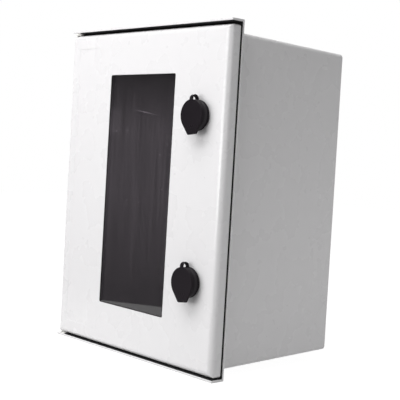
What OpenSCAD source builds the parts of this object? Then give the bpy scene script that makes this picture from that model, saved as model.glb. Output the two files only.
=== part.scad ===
// Wall enclosure in glass-fibre polyester with a windowed door and two quarter-turn locks.
// The origin is the centre of the wall face. X runs right, Y runs back into the wall, Z runs up.
// Sizes along the depth are counted from the door's front face and placed by at_front().

/* [Enclosure] */
// Overall width, across the rim flange
overall_w = 300; // [240:1:400]
// Overall height, across the two lips
overall_h = 400; // [340:1:520]
// Overall depth, from the door's front face to the wall
overall_d = 210; // [150:1:300]
// How far the rim flange stands out past the side walls
flange_overhang_x = 11; // [10:0.5:14]
// How far the rim flange stands out past the top and bottom walls
flange_overhang_z = 10.5; // [10:0.5:14]
// Wall thickness of the moulded shell
wall = 3.5; // [2.5:0.25:5]
// Draft of the walls, in degrees
draft = 1.4; // [0.5:0.1:2]
// Corner radius of the shell's long edges
shell_r = 5; // [2:0.5:8]
// Chamfer round the wall face
back_chamfer = 1.5; // [0.5:0.25:3]

/* [Rim] */
// How far the rim stands above the middle of the shell
rim_rise = 1.6; // [0.4:0.1:2]
// Thickness of the rim flange
flange_t = 4; // [3:0.25:5]
// Radius of the flange's outer back edges
flange_edge_r = 4; // [1:0.25:4]
// Radius of the cove between the flange and the walls
cove_r = 4.5; // [2:0.25:4.75]
// Thickness of the top and bottom lips
lip_t = 2.5; // [2:0.25:4]
// How far the lips stop behind the door's front face
lip_setback = 0.5; // [0:0.25:2]
// Thickness of the seal on the flange
seal_t = 2.6; // [2:0.2:4]
// Width of the seal on the flange
seal_w = 7.5; // [6:0.5:9]
// How far the seal stops inside the flange's side edges
seal_setback = 1; // [0.5:0.25:2]
// Thickness of the seal's legs along the lips
seal_leg_t = 1; // [0.6:0.1:1.4]
// Gap between the closed door and the seal
seal_gap = 0.2; // [0.1:0.05:0.5]

/* [Door] */
// How far the door stands above the middle of the shell
door_rise = 0.8; // [0.4:0.1:1.2]
// How far the door stops inside the flange's side edges
door_inset_x = 1.5; // [1:0.25:4]
// Mean gap between the door and the inner faces of the lips
door_gap_z = 2.5; // [2.4:0.1:4]
// Depth of the door from its front face to its back edge
door_t = 14.4; // [12:0.2:20]
// Wall thickness of the door
door_wall = 3; // [2:0.25:4]
// Radius of the door's front edges
door_edge_r = 8; // [6:0.25:9]
// Radius of the door's corners, seen from the front
door_corner_r = 3; // [1:0.25:4]
// Greatest depth of the shallow recess beside the hinges
recess_depth = 0.6; // [0.3:0.1:1.2]
// Depth of the recess at its left step
recess_step = 0.15; // [0.1:0.05:0.3]
// Distance of the recess's step from the door's left side
recess_step_x = 18; // [12:1:30]
// Width over which the recess gets deeper
recess_fall = 16; // [8:1:20]
// Width over which the recess runs out
recess_run = 25; // [12:1:30]
// Distance of the recess's ends from the door's top and bottom
recess_end_z = 18.5; // [12:0.5:40]

/* [Window] */
// Distance of the window opening from the door's sides
window_side = 87.5; // [85:0.5:105]
// Height of the window opening
window_h = 283.7; // [160:0.1:300]
// Corner radius of the window opening
window_r = 2; // [1:0.5:6]
// Visible width of the gasket round the window
gasket_lip = 1.6; // [1:0.1:3]
// How far the gasket's lip stops behind the door's front face
gasket_setback = 0.4; // [0.2:0.1:1]
// Thickness of the gasket under the pane
gasket_t = 1.2; // [0.8:0.1:2]
// How far the pane and the gasket reach past the opening
pane_lap = 8; // [5:0.5:9]
// Thickness of the pane
pane_t = 3; // [2:0.25:4]
// Thickness of the retainer frame
retainer_t = 2; // [1.5:0.25:3]
// Radius of the retainer's screw bosses on the door
retainer_boss_r = 3.5; // [3:0.25:4.5]
// Gap between the pane's edge and the screw bosses
retainer_boss_gap = 1; // [0.5:0.25:2]
// Screws along each long side of the retainer
retainer_side_screws = 4; // [2:1:6]
// Distance between those screws
retainer_screw_pitch = 84; // [30:1:90]
// Shank radius of the retainer screws
retainer_screw_r = 1.5; // [1.25:0.05:1.75]
// Head radius of the retainer screws
retainer_head_r = 2.8; // [2.4:0.1:3.4]
// Head height of the retainer screws
retainer_head_t = 2; // [1.5:0.1:2.6]

/* [Locks] */
// Distance of the locks from the door's right side
lock_inset = 42.5; // [38:0.1:48]
// Distance between the two locks
lock_pitch = 187.6; // [120:0.2:240]
// Radius of the lock housing's head
lock_r = 17.2; // [16:0.1:18]
// Height of the housing's head over its seal
lock_head_t = 6.9; // [6.6:0.1:9]
// Thickness of the seal under the head
lock_seal_t = 1; // [0.6:0.1:1.6]
// Chamfer round the head's front
lock_edge = 0.6; // [0.3:0.1:1]
// Radius of the neck behind the head
neck_r = 14.4; // [13:0.1:15]
// Radius of the threaded barrel
barrel_r = 10; // [9:0.1:11]
// Depth of the barrel's end behind the door's front face
barrel_end = 20; // [18:0.5:20.5]
// Width across the flats of the lock nut
nut_af = 27; // [24:0.5:30]
// Thickness of the lock nut
nut_t = 5; // [4:0.5:6]
// Radius of the spindle's head
spindle_head_r = 8.5; // [7.5:0.1:9]
// Thickness of the spindle's head
spindle_head_t = 4.6; // [3.5:0.1:5]
// How far the spindle's head lies below the housing's front
spindle_sink = 1.5; // [1:0.1:2]
// Radius of the spindle's shaft
spindle_r = 6; // [5.4:0.1:6.5]
// Radius of the key recess
key_r = 4.4; // [3.8:0.1:4.8]
// Depth of the key recess
key_depth = 6; // [4.5:0.5:8]
// Radius of the pin in the key recess
key_pin_r = 1.6; // [1.2:0.1:2]
// Width of the two slots for the key's bits
key_bit_w = 2.4; // [2:0.1:3]
// Reach of the key's bits from the axis
key_bit_reach = 6.4; // [5.5:0.1:7]
// Side of the square that carries the cam
cam_square = 8; // [7:0.1:8.4]
// Depth of the cam's front behind the door's front face
cam_front = 22.6; // [22:0.1:26]
// Thickness of the cam
cam_t = 2.5; // [2:0.25:4]
// Width of the cam
cam_w = 16; // [13:0.5:18]
// Reach of the cam from the lock's axis
cam_reach = 24; // [20:0.5:25]
// Shank radius of the cam screw
cam_screw_r = 2.5; // [2:0.1:2.75]
// Radius of the cam screw's washer
cam_washer_r = 7; // [6:0.1:8]
// Thickness of the cam screw's washer
cam_washer_t = 1.2; // [0.8:0.1:2]
// Head radius of the cam screw
cam_head_r = 4.5; // [3.5:0.1:5]
// Head height of the cam screw
cam_head_t = 3; // [2:0.1:4]
// How far the cam screw reaches into the spindle
cam_screw_depth = 11; // [8:0.5:14]

/* [Dust covers] */
// Gap between the cap and the housing
cover_gap = 0.2; // [0.15:0.05:0.4]
// Radius of the cap
cover_r = 17.5; // [16:0.1:19]
// Height of the cap
cover_t = 5; // [4:0.1:6]
// Thickness of the cap's front
cover_front_t = 1.8; // [1.5:0.1:2.4]
// Thickness of the cap's skirt
cover_skirt = 1.8; // [1.5:0.1:2.4]
// Chamfer round the cap's front
cover_edge = 0.5; // [0.2:0.1:0.8]
// Gap round the cap's plug in the housing
plug_gap = 0.3; // [0.25:0.05:0.5]
// How far the plug reaches into the housing
plug_depth = 1; // [0.5:0.1:1.2]
// Wall of the plug
plug_wall = 1.2; // [0.8:0.1:1.6]
// Distance of the thumb tab's end below the lock's axis
tab_drop = 21.9; // [20:0.1:25]
// Width of the thumb tab's end
tab_w = 13.8; // [12:0.2:18]
// Thickness of the thumb tab
tab_t = 2.5; // [1.8:0.1:3]
// Outer radius of the ring that keeps the cap on the lock
ring_r = 17.4; // [16.5:0.1:19]
// Thickness of the ring
ring_t = 2.4; // [2:0.1:3]
// Gap between the ring and the housing's neck
ring_gap = 0.15; // [0.1:0.05:0.3]
// Width of the strap between the ring and the cap
strap_w = 4.5; // [3.5:0.1:6]
// Thickness of the strap
strap_t = 1.5; // [1:0.1:1.8]
// Height of the strap's bend over the lock's axis
strap_rise = 22.8; // [22:0.1:25]
// Outer radius of the strap's bend
strap_bend_r = 2.5; // [2:0.1:3]
// How far the strap lies behind the cap's front
strap_setback = 0.7; // [0.5:0.1:1]
// Slit between the strap's two halves, at the crown where it bends
strap_slit = 0.2; // [0.15:0.05:0.4]
// Turn of the cap, strap and ring about the lock's axis, in degrees
cover_turn = 7; // [0:1:20]

/* [Hinges] */
// Distance of the hinge axis from the door's left side and its front
hinge_inset = 6.5; // [6:0.1:7]
// Radius of the hinge pins
pin_r = 2.5; // [2:0.1:2.8]
// Length of the hinge pins
pin_len = 17; // [13:0.5:17]
// Outer radius of the hinge bushes
bush_r = 3.6; // [3.4:0.1:4]
// Running clearance between pin and bush
pin_clearance = 0.05; // [0.02:0.01:0.1]
// Length of the hinge bushes
bush_len = 12; // [11.5:0.5:14]
// How far the bushes lie below the door's edge
bush_sink = 2; // [1.9:0.1:2.6]
// Length of the hinge bosses in the door
hinge_boss_len = 16; // [14:0.5:20]
// How far the hinge bosses lie inside the door's faces
hinge_boss_inset = 0.2; // [0.1:0.1:0.6]
// Radius of the thrust washers
washer_r = 5; // [4:0.1:5.5]
// Gap between a thrust washer and the door
washer_gap = 0.2; // [0.1:0.05:0.4]

/* [Strikes] */
// Thickness of the strike's steel
strike_t = 2.5; // [2:0.25:3]
// Height of the strikes
strike_h = 28; // [24:1:40]
// Gap between a strike and the turned cam
strike_gap = 0.4; // [0.3:0.1:1]
// Gap between the end of the turned cam and the strike's wall leg
strike_end_gap = 1.8; // [1:0.1:3]
// How far the cam overlaps the strike when it is turned
strike_overlap = 12; // [6:0.5:13]
// Length of the strike's wall leg
strike_leg = 26; // [24:0.5:34]
// Distance between a strike's two screws
strike_screw_pitch = 14; // [12:0.5:16]
// Shank radius of the strike screws
strike_screw_r = 2; // [1.5:0.1:2.25]
// Head radius of the strike screws
strike_head_r = 3.6; // [3:0.1:4.2]
// Head height of the strike screws
strike_head_t = 2.4; // [1.8:0.1:3]
// Skin left between a strike screw and the outer face of the wall
strike_skin = 1; // [0.6:0.1:1.5]

/* [Mounting plate] */
// Thickness of the mounting plate
plate_t = 2; // [1.5:0.25:3]
// Gap between the plate and the side walls
plate_gap_x = 6; // [4:0.5:12]
// Gap between the plate and the top and bottom walls
plate_gap_z = 7; // [4:0.5:12]
// Side of the notches in the plate's corners
plate_notch = 32; // [28:0.5:34]
// Distance of the plate's screws from its side edges
plate_screw_x = 13; // [11:0.5:16]
// Distance of the plate's screws from its notches
plate_screw_z = 18; // [12:0.5:30]
// Height of the bosses that carry the plate
plate_boss_h = 12; // [10:0.5:20]
// Radius of those bosses
plate_boss_r = 9; // [8:0.25:10]
// Outer radius of the threaded inserts
insert_r = 4.5; // [4:0.1:5]
// Length of the threaded inserts
insert_len = 9; // [7:0.5:9.5]
// Shank radius of the plate screws
plate_screw_r = 3; // [2.5:0.1:3.25]
// Head radius of the plate screws
plate_head_r = 6; // [5:0.1:7]
// Head height of the plate screws
plate_head_t = 4; // [3:0.1:5]

/* [Wall fixing] */
// Distance of the wall holes from the sides of the shell's rim
wall_hole_x = 24; // [22:0.5:27]
// Distance of the wall holes from the top and bottom of the shell's rim
wall_hole_z = 24.5; // [22:0.5:27]
// Radius of the wall holes
wall_hole_r = 4; // [3:0.1:5]
// Radius of the pads round the wall holes
wall_pad_r = 10; // [8:0.5:11]
// Height of the pads round the wall holes
wall_pad_h = 2.5; // [1:0.25:4]

/* [Hidden] */
$fn = 72;
over = 1;       // how far a cut runs past the face it opens
thin = 0.01;    // thickness of the sheets that a drafted form is stretched between
up = 1;         // upper and lower pieces differ by this sign
down = -1;

// Depths from the door's front face
flange_front = door_t + seal_gap + seal_t;
flange_back = flange_front + flange_t;
lip_inner_z = overall_h / 2 - lip_t;

// Shell
slope = tan(draft);
shell_w = overall_w - 2 * flange_overhang_x;
shell_h = overall_h - 2 * flange_overhang_z;
cavity_back = overall_d - wall;
wall_hole_at = [shell_w / 2 - wall_hole_x, shell_h / 2 - wall_hole_z];
function half_inside_x(d) = shell_w / 2 - wall - slope * (d - flange_back);
function half_inside_z(d) = shell_h / 2 - wall - slope * (d - flange_back);

// Door and its hinge axis, in the middle of the rounded left edge
door_w = overall_w - 2 * door_inset_x;
door_h = 2 * (lip_inner_z - door_gap_z);
hinge_x = -door_w / 2 + hinge_inset;
hinge_d = hinge_inset;
hinge_sweep_r = door_t - hinge_d;
hinge_boss_r = hinge_inset - hinge_boss_inset;

// Window, between the door's stiles
window_w = door_w - 2 * window_side;
pane_front = door_wall + gasket_t;
retainer_front = pane_front + pane_t;
retainer_back = retainer_front + retainer_t;
retainer_screw_off = pane_lap + retainer_boss_gap + retainer_boss_r;
retainer_lap = retainer_screw_off + retainer_boss_r;

// Locks, from the head's front to the back of the cam
lock_x = door_w / 2 - lock_inset;
head_back = -lock_seal_t;
head_front = head_back - lock_head_t;
neck_front = head_back - ring_t - 2 * ring_gap;
spindle_front = head_front + spindle_sink;
spindle_head_back = spindle_front + spindle_head_t;
spindle_clearance = 0.05;
shoulder_gap = 0.2;
cam_back = cam_front + cam_t;
cover_back = head_front - cover_gap;
cover_front = cover_back - cover_t;
ring_back = head_back - ring_gap;
ring_front = ring_back - ring_t;
strap_front = cover_front + strap_setback;
strap_back = ring_front + strap_t;
strap_crown = (strap_front + strap_back) / 2;
tab_corner = [tab_w / 2, -tab_drop];
tab_tangent = atan2(tab_corner[1], tab_corner[0]) + acos(cover_r / norm(tab_corner));

// Strikes, set from the turned cam
strike_back = cam_front - strike_gap;
strike_front = strike_back - strike_t;
strike_wall_x = lock_x + cam_reach + strike_end_gap + strike_t;
strike_tip_x = lock_x + cam_reach - strike_overlap;
strike_screw_d = strike_front + strike_leg / 2 + strike_t;
strike_screw_end = shell_w / 2 - slope * (strike_screw_d - flange_back) - strike_skin;

// Mounting plate
plate_back = cavity_back - plate_boss_h;
plate_front = plate_back - plate_t;
plate_w = 2 * (half_inside_x(plate_back) - plate_gap_x);
plate_h = 2 * (half_inside_z(plate_back) - plate_gap_z);
plate_screw_at = [plate_w / 2 - plate_screw_x, plate_h / 2 - plate_notch - plate_screw_z];

polyester = [0.86, 0.87, 0.86];
black = [0.1, 0.1, 0.11];
acetal = [0.9, 0.9, 0.88];
steel = [0.7, 0.71, 0.72];
brass = [0.78, 0.62, 0.32];

// Puts a piece that is drawn from the door's front face in its place before the wall
module at_front() {
    translate([0, -overall_d, 0]) children();
}

// The same for what belongs to the rim, and for what the door carries
module at_rim() {
    at_front() translate([0, 0, rim_rise]) children();
}

module at_door() {
    at_front() translate([0, 0, door_rise]) children();
}

// A flat outline (X, Z) given thickness from depth d0 to depth d1
module slab(d0, d1) {
    translate([0, d1, 0]) rotate([90, 0, 0]) linear_extrude(d1 - d0) children();
}

// A profile (X, depth) run over a height
module along_z(height) {
    linear_extrude(height, center = true) children();
}

// A profile (Z, depth) run over a width
module along_x(width) {
    rotate([0, -90, 0]) linear_extrude(width, center = true) children();
}

// A round bar along the depth
module bar(x, z, d0, d1, r) {
    translate([x, d1, z]) rotate([90, 0, 0]) cylinder(h = d1 - d0, r = r);
}

// A revolved profile (radius, depth) about an axis along the depth
module turned(x, z) {
    translate([x, 0, z]) rotate([-90, 0, 0]) rotate_extrude() children();
}

module round_rect(w, h, r) {
    square([w - 2 * r, h], center = true);
    square([w, h - 2 * r], center = true);
    for (sx = [-1, 1], sz = [-1, 1])
        translate([sx * (w / 2 - r), sz * (h / 2 - r)]) circle(r);
}

module frame_outline(outer, inner, r) {
    difference() {
        round_rect(outer[0], outer[1], r);
        round_rect(inner[0], inner[1], r);
    }
}

// Copies a piece to the four corners of a rectangle
module at_corners(half) {
    for (sx = [-1, 1], sz = [-1, 1])
        translate([sx * half[0], 0, sz * half[1]]) children();
}

// A block that narrows with the draft from depth d0 to depth d1
module drafted_block(half_x, half_z, r, d0, d1, chamfer) {
    function shrink(d) = 2 * slope * (d - flange_back);
    hull() {
        slab(d0, d0 + thin)
            round_rect(2 * half_x - shrink(d0), 2 * half_z - shrink(d0), r);
        slab(d1 - chamfer - thin, d1 - chamfer)
            round_rect(2 * half_x - shrink(d1 - chamfer), 2 * half_z - shrink(d1 - chamfer), r);
        slab(d1 - thin, d1)
            round_rect(2 * half_x - shrink(d1) - 2 * chamfer, 2 * half_z - shrink(d1) - 2 * chamfer, r);
    }
}

// Half profile of the cove under the flange, from the wall out to the cove's edge
module cove_profile(half) {
    reach = cove_r + thin;
    translate([-half, flange_back - thin]) square([2 * half, cove_r]);
    for (s = [-1, 1])
        difference() {
            translate([s > 0 ? half - thin : -half - cove_r, flange_back - thin]) square([reach, cove_r]);
            translate([s * (half + cove_r), flange_back + cove_r]) circle(cove_r);
        }
}

module cove() {
    intersection() {
        along_z(overall_h) cove_profile(shell_w / 2);
        along_x(overall_w) cove_profile(shell_h / 2);
    }
}

module cavity() {
    front = flange_front - over;
    drafted_block(shell_w / 2 - wall, shell_h / 2 - wall, shell_r - wall / 2, front, cavity_back, thin);
}

module lip(side) {
    depth = flange_back - lip_setback;
    translate([-overall_w / 2, lip_setback, side > 0 ? lip_inner_z : -lip_inner_z - lip_t])
        cube([overall_w, depth, lip_t]);
}

// Profile (across, depth) of the rim with its back corners rounded
module rim_profile(width) {
    r = flange_edge_r;
    depth = flange_back - lip_setback;
    translate([-width / 2, lip_setback]) square([width, depth - r]);
    translate([-width / 2 + r, lip_setback]) square([width - 2 * r, depth]);
    for (s = [-1, 1]) translate([s * (width / 2 - r), flange_back - r]) circle(r);
}

// Flange and lips in one, with the outer back edges rounded all round
module rim() {
    intersection() {
        union() {
            slab(flange_front, flange_back) square([overall_w, overall_h], center = true);
            lip(up);
            lip(down);
        }
        along_z(overall_h + 2 * over) rim_profile(overall_w);
        along_x(overall_w + 2 * over) rim_profile(overall_h);
    }
}

// Flat seat on the right wall for a strike
module strike_pad(side) {
    z = side * lock_pitch / 2 + door_rise;
    translate([strike_wall_x, flange_front + flange_t / 2, z - strike_h / 2 - strike_t])
        cube([shell_w / 2 - wall / 2 - strike_wall_x, strike_leg + strike_t, strike_h + 2 * strike_t]);
}

// Screw places along a strike's wall leg
module at_strike_screws() {
    for (side = [up, down], s = [-1, 1])
        translate([0, strike_screw_d, door_rise + side * lock_pitch / 2 + s * strike_screw_pitch / 2])
            rotate([0, 90, 0]) children();
}

module enclosure_body() {
    color(polyester) at_front()
    difference() {
        union() {
            difference() {
                union() {
                    drafted_block(shell_w / 2, shell_h / 2, shell_r, flange_front, overall_d, back_chamfer);
                    cove();
                    translate([0, 0, rim_rise]) rim();
                }
                cavity();
            }
            at_corners(plate_screw_at) bar(0, 0, plate_back, cavity_back + over, plate_boss_r);
            at_corners(wall_hole_at)
                bar(0, 0, cavity_back - wall_pad_h, cavity_back + over, wall_pad_r);
            strike_pad(up);
            strike_pad(down);
        }
        at_corners(plate_screw_at) bar(0, 0, plate_back - over, plate_back + insert_len, insert_r);
        at_corners(wall_hole_at)
            bar(0, 0, cavity_back - wall_pad_h - over, overall_d + over, wall_hole_r);
        at_strike_screws()
            translate([0, 0, strike_wall_x - over])
                cylinder(h = strike_screw_end - strike_wall_x + over, r = strike_screw_r);
        translate([hinge_x, hinge_d, rim_rise])
            cylinder(h = overall_h + 2 * over, r = pin_r, center = true);
    }
}

module rim_seal() {
    seal_front = flange_front - seal_t;
    outer = [overall_w - 2 * seal_setback, 2 * lip_inner_z];
    leg_left = hinge_x + washer_r + 2 * seal_leg_t;
    leg_front = lip_setback + seal_leg_t;
    color(black) at_rim() {
        slab(seal_front, flange_front)
            difference() {
                square(outer, center = true);
                square([outer[0] - 2 * seal_w, outer[1] - 2 * seal_w], center = true);
            }
        for (side = [up, down])
            translate([leg_left, leg_front, side > 0 ? lip_inner_z - seal_leg_t : -lip_inner_z])
                cube([outer[0] / 2 - leg_left, seal_front - leg_front + thin, seal_leg_t]);
    }
}

module hinge_pin(side) {
    color(steel) at_rim()
        translate([hinge_x, hinge_d, side * (overall_h / 2 - pin_len / 2)])
            cylinder(h = pin_len, r = pin_r, center = true);
}

module hinge_washer(side) {
    washer_t = door_gap_z + side * (rim_rise - door_rise) - washer_gap;
    color(acetal) at_rim()
        translate([hinge_x, hinge_d, side * (lip_inner_z - washer_t / 2)])
            difference() {
                cylinder(h = washer_t, r = washer_r, center = true);
                cylinder(h = washer_t + over, r = pin_r, center = true);
            }
}

module hinge_bush(side) {
    color(black) at_door()
        translate([hinge_x, hinge_d, side * (door_h / 2 - bush_sink - bush_len / 2)])
            difference() {
                cylinder(h = bush_len, r = bush_r, center = true);
                cylinder(h = bush_len + over, r = pin_r + pin_clearance, center = true);
            }
}

module strike(side) {
    color(steel) at_front()
    difference() {
        translate([0, 0, side * lock_pitch / 2 + door_rise]) {
            translate([strike_tip_x, strike_front, -strike_h / 2])
                cube([strike_wall_x - strike_tip_x, strike_t, strike_h]);
            translate([strike_wall_x - strike_t, strike_front, -strike_h / 2])
                cube([strike_t, strike_leg, strike_h]);
        }
        at_strike_screws()
            translate([0, 0, strike_wall_x - strike_t - over])
                cylinder(h = strike_t + 2 * over, r = strike_screw_r);
    }
}

module strike_screws() {
    seat_x = strike_wall_x - strike_t;
    color(steel) at_front() at_strike_screws() {
        translate([0, 0, seat_x - strike_head_t]) cylinder(h = strike_head_t, r = strike_head_r);
        translate([0, 0, seat_x - thin]) cylinder(h = strike_screw_end - seat_x + thin, r = strike_screw_r);
    }
}

module mounting_plate() {
    color(steel) at_front()
    difference() {
        slab(plate_front, plate_back)
            difference() {
                square([plate_w, plate_h], center = true);
                for (sx = [-1, 1], sz = [-1, 1])
                    translate([sx * plate_w / 2, sz * plate_h / 2])
                        square(2 * plate_notch, center = true);
            }
        at_corners(plate_screw_at) bar(0, 0, plate_front - over, plate_back + over, plate_screw_r);
    }
}

module plate_inserts() {
    color(brass) at_front() at_corners(plate_screw_at)
        difference() {
            bar(0, 0, plate_back, plate_back + insert_len, insert_r);
            bar(0, 0, plate_back - over, plate_back + insert_len + over, plate_screw_r);
        }
}

module plate_screws() {
    color(steel) at_front() at_corners(plate_screw_at) {
        bar(0, 0, plate_front - plate_head_t, plate_front, plate_head_r);
        bar(0, 0, plate_front - thin, plate_back + insert_len, plate_screw_r);
    }
}

// Profile with rounded front corners, from its front at depth 0
module front_rounded(w, depth, r) {
    translate([-w / 2, r]) square([w, depth - r]);
    translate([-w / 2 + r, 0]) square([w - 2 * r, depth]);
    for (s = [-1, 1]) translate([s * (w / 2 - r), r]) circle(r);
}

// Tray with rounded front edges, mitred at its corners
module tray(w, h, depth, r) {
    intersection() {
        along_z(h + 2 * over) front_rounded(w, depth, r);
        along_x(w + 2 * over) front_rounded(h, depth, r);
    }
}

// Screw places round the pane's retainer
function retainer_places() = concat(
    [for (s = [-1, 1], i = [0 : retainer_side_screws - 1])
        [s * (window_w / 2 + retainer_screw_off), (i - (retainer_side_screws - 1) / 2) * retainer_screw_pitch]],
    [for (s = [-1, 1]) [0, s * (window_h / 2 + retainer_screw_off)]]
);

module at_retainer_screws() {
    for (p = retainer_places()) translate([p[0], 0, p[1]]) children();
}

// The back of the left edge is cut to an arc about the hinge, so that it clears the seal as it swings
module hinge_sweep_cut() {
    along_z(door_h + 2 * over)
        difference() {
            translate([-door_w / 2 - over, hinge_d])
                square([hinge_x + door_w / 2 + over, door_t + over - hinge_d]);
            translate([hinge_x, hinge_d]) circle(hinge_sweep_r);
        }
}

// Shallow recess beside the hinges, which falls away from its step and then runs out to the right
module door_recess() {
    step_x = -door_w / 2 + recess_step_x;
    deep_x = step_x + recess_fall;
    end_x = deep_x + recess_run;
    along_z(door_h - 2 * recess_end_z)
        polygon([[step_x, -over], [step_x, recess_step], [deep_x, recess_depth], [end_x, 0], [end_x, -over]]);
}

module door() {
    inner_r = door_edge_r - door_wall;
    color(polyester) at_door()
    difference() {
        intersection() {
            tray(door_w, door_h, door_t, door_edge_r);
            slab(-over, door_t + over) round_rect(door_w, door_h, door_corner_r);
        }
        difference() {
            translate([0, door_wall, 0])
                tray(door_w - 2 * door_wall, door_h - 2 * door_wall, door_t, inner_r);
            at_retainer_screws() bar(0, 0, 0, retainer_front, retainer_boss_r);
            for (side = [up, down])
                translate([hinge_x, hinge_d, side * (door_h / 2 - hinge_boss_len / 2)])
                    cylinder(h = hinge_boss_len, r = hinge_boss_r, center = true);
        }
        slab(-over, door_wall + over) round_rect(window_w, window_h, window_r);
        at_retainer_screws() bar(0, 0, door_wall, retainer_front + over, retainer_screw_r);
        for (side = [up, down]) {
            bar(lock_x, side * lock_pitch / 2, -over, door_wall + over, barrel_r);
            translate([hinge_x, hinge_d, side * (door_h / 2 - (bush_sink + bush_len - over) / 2)])
                cylinder(h = bush_sink + bush_len + over, r = bush_r, center = true);
        }
        hinge_sweep_cut();
        door_recess();
    }
}

module window_gasket() {
    opening = [window_w, window_h];
    sight = [window_w - 2 * gasket_lip, window_h - 2 * gasket_lip];
    seat = [window_w + 2 * pane_lap, window_h + 2 * pane_lap];
    color(black) at_door() {
        slab(gasket_setback, door_wall + thin) frame_outline(opening, sight, window_r);
        slab(door_wall, pane_front) frame_outline(seat, sight, window_r);
    }
}

module window_pane() {
    color([0.18, 0.18, 0.19, 0.75]) at_door()
        slab(pane_front, retainer_front)
            round_rect(window_w + 2 * pane_lap, window_h + 2 * pane_lap, window_r);
}

module pane_retainer() {
    outer = [window_w + 2 * retainer_lap, window_h + 2 * retainer_lap];
    inner = [window_w, window_h];
    color(black) at_door()
    difference() {
        slab(retainer_front, retainer_back) frame_outline(outer, inner, window_r);
        at_retainer_screws() bar(0, 0, retainer_front - over, retainer_back + over, retainer_screw_r);
    }
}

module retainer_screws() {
    color(steel) at_door() at_retainer_screws() {
        bar(0, 0, retainer_back, retainer_back + retainer_head_t, retainer_head_r);
        bar(0, 0, door_wall, retainer_back + thin, retainer_screw_r);
    }
}

// Places the pieces of the upper or lower lock about the lock's axis
module at_lock(side) {
    at_door() translate([lock_x, 0, side * lock_pitch / 2]) children();
}

module lock_seal(side) {
    color(black) at_lock(side)
        difference() {
            bar(0, 0, head_back, 0, lock_r - lock_seal_t);
            bar(0, 0, head_back - over, over, barrel_r);
        }
}

module lock_housing(side) {
    color(black) at_lock(side)
    difference() {
        turned(0, 0)
            polygon([
                [0, head_front], [lock_r - lock_edge, head_front], [lock_r, head_front + lock_edge],
                [lock_r, neck_front], [neck_r, neck_front], [neck_r, head_back], [barrel_r, head_back],
                [barrel_r, barrel_end], [0, barrel_end]
            ]);
        bar(0, 0, head_front - over, spindle_head_back + shoulder_gap, spindle_head_r + spindle_clearance);
        bar(0, 0, head_front, barrel_end + over, spindle_r + spindle_clearance);
    }
}

module lock_nut(side) {
    color(steel) at_lock(side)
        difference() {
            translate([0, door_wall + nut_t, 0]) rotate([90, 0, 0])
                cylinder(h = nut_t, r = nut_af / 2 / cos(30), $fn = 6);
            bar(0, 0, door_wall - over, door_wall + nut_t + over, barrel_r);
        }
}

module lock_spindle(side) {
    recess_floor = spindle_front + key_depth;
    color(steel) at_lock(side)
    difference() {
        union() {
            bar(0, 0, spindle_front, spindle_head_back, spindle_head_r);
            bar(0, 0, spindle_head_back - thin, cam_front, spindle_r);
            slab(cam_front - thin, cam_back) square(cam_square, center = true);
        }
        difference() {
            bar(0, 0, spindle_front - over, recess_floor, key_r);
            bar(0, 0, spindle_front + over, recess_floor + over, key_pin_r);
        }
        difference() {
            slab(spindle_front - over, spindle_head_back - over)
                square([2 * key_bit_reach, key_bit_w], center = true);
            bar(0, 0, spindle_front - 2 * over, spindle_head_back, key_r - thin);
        }
        bar(0, 0, cam_back - cam_screw_depth, cam_back + over, cam_screw_r);
    }
}

// The cam points up at rest, and turns clockwise to the right, behind its strike
module lock_cam(side) {
    end_r = cam_w / 2;
    color(steel) at_lock(side)
        slab(cam_front, cam_back)
            difference() {
                union() {
                    circle(end_r);
                    translate([-end_r, 0]) square([cam_w, cam_reach - end_r]);
                    translate([0, cam_reach - end_r]) circle(end_r);
                }
                square(cam_square, center = true);
            }
}

module cam_screw(side) {
    color(steel) at_lock(side) {
        bar(0, 0, cam_back, cam_back + cam_washer_t, cam_washer_r);
        bar(0, 0, cam_back + cam_washer_t - thin, cam_back + cam_washer_t + cam_head_t, cam_head_r);
        bar(0, 0, cam_back - cam_screw_depth, cam_back + thin, cam_screw_r);
    }
}

// Places the pieces of a dust cap, which hangs a little turned on its lock
module at_cover(side) {
    at_lock(side) rotate([0, -cover_turn, 0]) children();
}

// Side view of the strap's outside or inside (height, depth): square feet and a rounded crown
module strap_bow(d0, d1, top, r) {
    foot = cover_r - cover_skirt / 2;
    translate([foot, d0]) square([top - r - foot, d1 - d0]);
    translate([foot, d0 + r]) square([top - foot, d1 - d0 - 2 * r]);
    for (d = [d0 + r, d1 - r]) translate([top - r, d]) circle(r);
}

// The strap from depth d0 to depth d1
module strap(d0, d1) {
    t = strap_t;
    along_x(strap_w)
        intersection() {
            difference() {
                strap_bow(strap_front, strap_back, strap_rise, strap_bend_r);
                strap_bow(strap_front + t, strap_back - t, strap_rise - t, strap_bend_r - t);
            }
            translate([0, d0]) square([strap_rise + over, d1 - d0]);
        }
}

// Cap with its thumb tab and the front half of the strap, in one moulding
module dust_cover(side) {
    tangent_point = cover_r * [cos(tab_tangent), sin(tab_tangent)];
    skirt_r = cover_r - cover_skirt;
    plug_r = spindle_head_r + spindle_clearance - plug_gap;
    plug_in = plug_r - plug_wall;
    plug_back = head_front + plug_depth;
    hollow_front = cover_front + cover_front_t;
    color(black) at_cover(side) {
        turned(0, 0)
            polygon([
                [0, cover_front], [cover_r - cover_edge, cover_front], [cover_r, cover_front + cover_edge],
                [cover_r, cover_back], [skirt_r, cover_back], [skirt_r, hollow_front], [plug_r, hollow_front],
                [plug_r, plug_back], [plug_in, plug_back], [plug_in, hollow_front], [0, hollow_front]
            ]);
        slab(cover_front, cover_front + tab_t)
            difference() {
                polygon([
                    tangent_point, tab_corner,
                    [-tab_corner[0], tab_corner[1]], [-tangent_point[0], tangent_point[1]]
                ]);
                circle(skirt_r);
            }
        strap(strap_front, strap_crown - strap_slit / 2);
    }
}

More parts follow.
